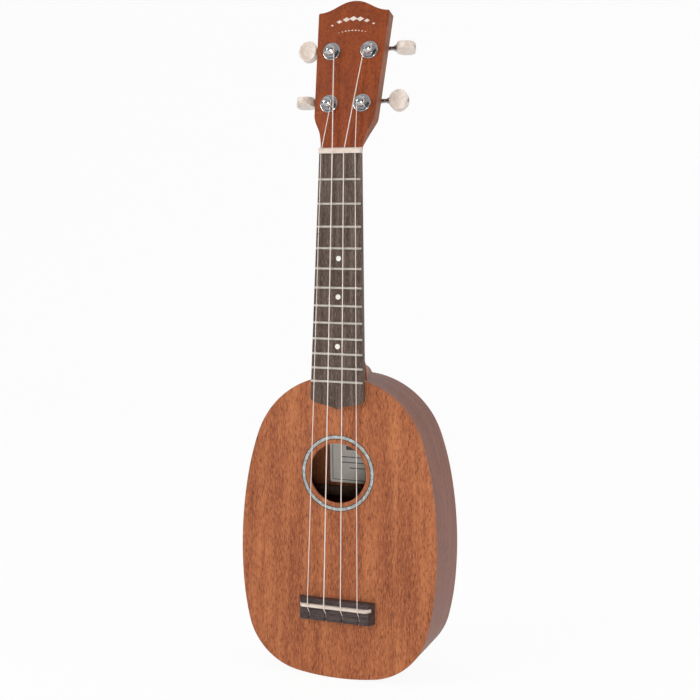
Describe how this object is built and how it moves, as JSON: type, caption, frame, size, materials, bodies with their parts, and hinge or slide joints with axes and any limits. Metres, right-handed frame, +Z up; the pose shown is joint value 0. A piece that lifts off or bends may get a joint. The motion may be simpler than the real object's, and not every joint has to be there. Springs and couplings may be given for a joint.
{
  "type": "soprano ukulele",
  "caption": "Small pineapple-bodied ukulele with round sound hole, fretted neck, slotted bridge, nylon strings and sealed geared tuners with oval buttons.",
  "frame": {"origin": "middle of the nut's lower edge, on the face of the fretboard, where a hanger's fork holds the neck just above it", "axes": "+Z up the neck towards the headstock, +Y from the soundboard to the back, +X towards the treble side"},
  "size_m": [0.1604, 0.0792, 0.5243],
  "materials": {
    "plate_wood": "satin",
    "side_wood": "satin",
    "inner_wood": "matte",
    "label_paper": "matte",
    "rosette_silver": "satin",
    "rosette_black": "satin",
    "neck_wood": "satin",
    "fretboard_wood": "matte",
    "bridge_wood": "matte",
    "fret_metal": "polished",
    "dot_white": "satin",
    "bone": "satin",
    "string_nylon": "gloss",
    "button_pearl": "gloss",
    "plated_metal": "polished",
    "gear_brass": "satin"
  },
  "bodies": {
    "instrument": {"soundboard": "plate_wood", "back_plate": "plate_wood", "side_left": "side_wood", "side_right": "side_wood", "top_linings": "inner_wood", "back_linings": "inner_wood", "neck_block": "inner_wood", "tail_block": "inner_wood", "neck_dowels": "inner_wood", "brace_above_hole": "inner_wood", "brace_below_hole": "inner_wood", "back_braces": "inner_wood", "fan_braces": "inner_wood", "bridge_plate": "inner_wood", "label": "label_paper", "rosette_ring": "rosette_silver", "rosette_lines": "rosette_black", "neck": "neck_wood", "fretboard": "fretboard_wood", "frets": "fret_metal", "position_dots": "dot_white", "nut": "bone", "bridge": "bridge_wood", "saddle": "bone", "string_g": "string_nylon", "string_c": "string_nylon", "string_e": "string_nylon", "string_a": "string_nylon", "tuner_housings": "plated_metal", "tuner_covers": "plated_metal", "tuner_bushings": "plated_metal", "tuner_washers": "plated_metal", "tuner_mounting_screws": "plated_metal"},
    "button_g": {"button_g": "button_pearl", "worm_shaft_g": "plated_metal", "button_screw_g": "plated_metal"},
    "post_g": {"post_g": "plated_metal", "worm_wheel_g": "gear_brass", "winding_g": "string_nylon"},
    "button_c": {"button_c": "button_pearl", "worm_shaft_c": "plated_metal", "button_screw_c": "plated_metal"},
    "post_c": {"post_c": "plated_metal", "worm_wheel_c": "gear_brass", "winding_c": "string_nylon"},
    "button_e": {"button_e": "button_pearl", "worm_shaft_e": "plated_metal", "button_screw_e": "plated_metal"},
    "post_e": {"post_e": "plated_metal", "worm_wheel_e": "gear_brass", "winding_e": "string_nylon"},
    "button_a": {"button_a": "button_pearl", "worm_shaft_a": "plated_metal", "button_screw_a": "plated_metal"},
    "post_a": {"post_a": "plated_metal", "worm_wheel_a": "gear_brass", "winding_a": "string_nylon"}
  },
  "joints": [
    {"name": "button_g_turn", "type": "hinge", "parent": "instrument", "child": "button_g", "pos_m": [-0.0133, 0.02597, 0.04145], "axis": [1, 0, 0], "continuous": true},
    {"name": "post_g_turn", "type": "hinge", "parent": "instrument", "child": "post_g", "pos_m": [-0.0133, 0.01091, 0.03849], "axis": [0, -0.974, 0.2267], "continuous": true},
    {"name": "button_c_turn", "type": "hinge", "parent": "instrument", "child": "button_c", "pos_m": [-0.0152, 0.03552, 0.08246], "axis": [1, 0, 0], "continuous": true},
    {"name": "post_c_turn", "type": "hinge", "parent": "instrument", "child": "post_c", "pos_m": [-0.0152, 0.02045, 0.0795], "axis": [0, -0.974, 0.2267], "continuous": true},
    {"name": "button_e_turn", "type": "hinge", "parent": "instrument", "child": "button_e", "pos_m": [0.0152, 0.03552, 0.08246], "axis": [1, 0, 0], "continuous": true},
    {"name": "post_e_turn", "type": "hinge", "parent": "instrument", "child": "post_e", "pos_m": [0.0152, 0.02045, 0.0795], "axis": [0, -0.974, 0.2267], "continuous": true},
    {"name": "button_a_turn", "type": "hinge", "parent": "instrument", "child": "button_a", "pos_m": [0.0133, 0.02597, 0.04145], "axis": [1, 0, 0], "continuous": true},
    {"name": "post_a_turn", "type": "hinge", "parent": "instrument", "child": "post_a", "pos_m": [0.0133, 0.01091, 0.03849], "axis": [0, -0.974, 0.2267], "continuous": true}
  ],
  "couplings": [
    {"joint": "post_g_turn", "follows": "button_g_turn", "ratio": 0.071429},
    {"joint": "post_c_turn", "follows": "button_c_turn", "ratio": 0.071429},
    {"joint": "post_e_turn", "follows": "button_e_turn", "ratio": 0.071429},
    {"joint": "post_a_turn", "follows": "button_a_turn", "ratio": 0.071429}
  ]
}
